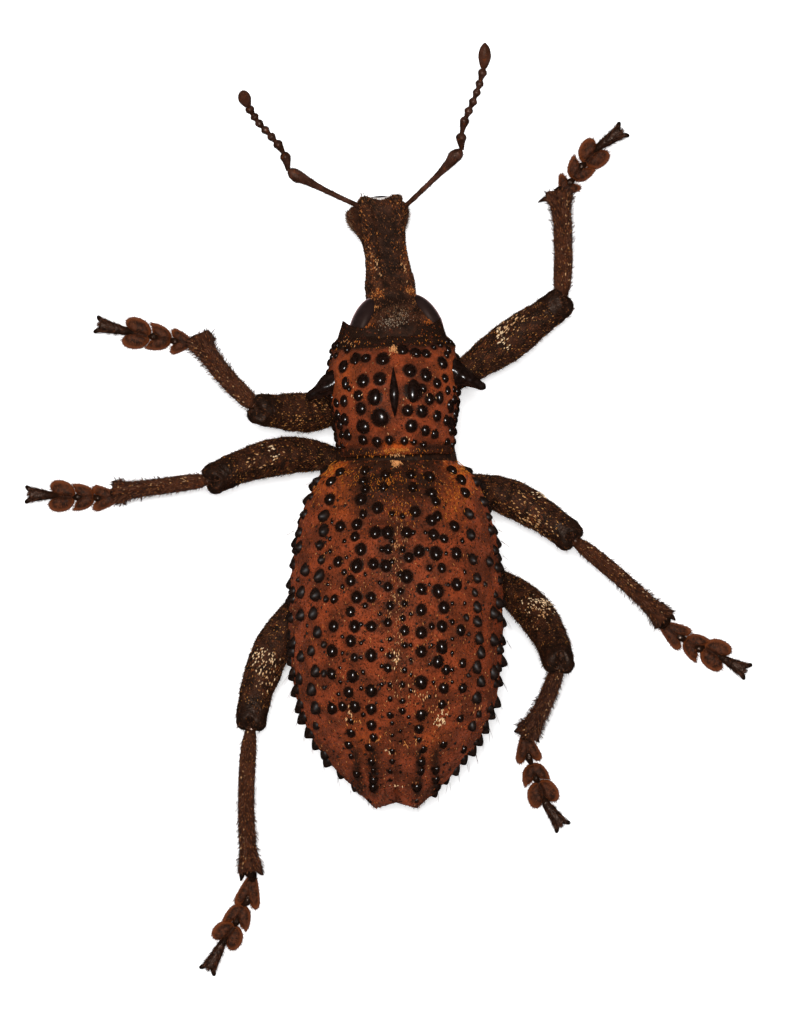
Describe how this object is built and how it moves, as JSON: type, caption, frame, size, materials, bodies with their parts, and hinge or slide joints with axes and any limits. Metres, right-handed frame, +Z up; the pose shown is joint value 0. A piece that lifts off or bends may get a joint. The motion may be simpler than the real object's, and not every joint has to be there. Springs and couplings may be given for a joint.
{
  "type": "donkeyface weevil",
  "caption": "Life-size still model of a large ground weevil standing on its feet, with a long squared rostrum, elbowed antennae and back and wing cases set with shining black bosses.",
  "frame": {"origin": "on the floor, under the middle of the box that the whole animal takes up", "axes": "+Y the way the rostrum points, +X the animal's right side, +Z up"},
  "size_m": [0.0359, 0.0459, 0.0106],
  "materials": {
    "wing_cases": "rust-brown scales between shining black bosses",
    "pronotum": "rust-brown scales between shining black bosses",
    "underside": "dark brown cuticle with sparse scales",
    "head": "dark brown cuticle with golden scales and bristles",
    "eye": "satin grey-black",
    "leg": "dark brown cuticle with pale scales and bristles",
    "tarsus": "reddish brown, hairy pads",
    "antenna": "dark reddish brown with short bristles"
  },
  "bodies": {
    "root": {"elytron_left": "wing_cases", "elytron_right": "wing_cases", "prothorax": "pronotum", "metathorax": "underside", "abdomen": "underside", "head": "head", "rostrum": "head", "mandibles": "head", "eye_left": "eye", "eye_right": "eye", "scape_left": "antenna", "funicle_left": "antenna", "club_left": "antenna", "scape_right": "antenna", "funicle_right": "antenna", "club_right": "antenna", "coxa_front_left": "leg", "femur_front_left": "leg", "tibia_front_left": "leg", "tarsus_front_left": "tarsus", "coxa_front_right": "leg", "femur_front_right": "leg", "tibia_front_right": "leg", "tarsus_front_right": "tarsus", "coxa_middle_left": "leg", "femur_middle_left": "leg", "tibia_middle_left": "leg", "tarsus_middle_left": "tarsus", "coxa_middle_right": "leg", "femur_middle_right": "leg", "tibia_middle_right": "leg", "tarsus_middle_right": "tarsus", "coxa_hind_left": "leg", "femur_hind_left": "leg", "tibia_hind_left": "leg", "tarsus_hind_left": "tarsus", "coxa_hind_right": "leg", "femur_hind_right": "leg", "tibia_hind_right": "leg", "tarsus_hind_right": "tarsus"}
  },
  "joints": []
}
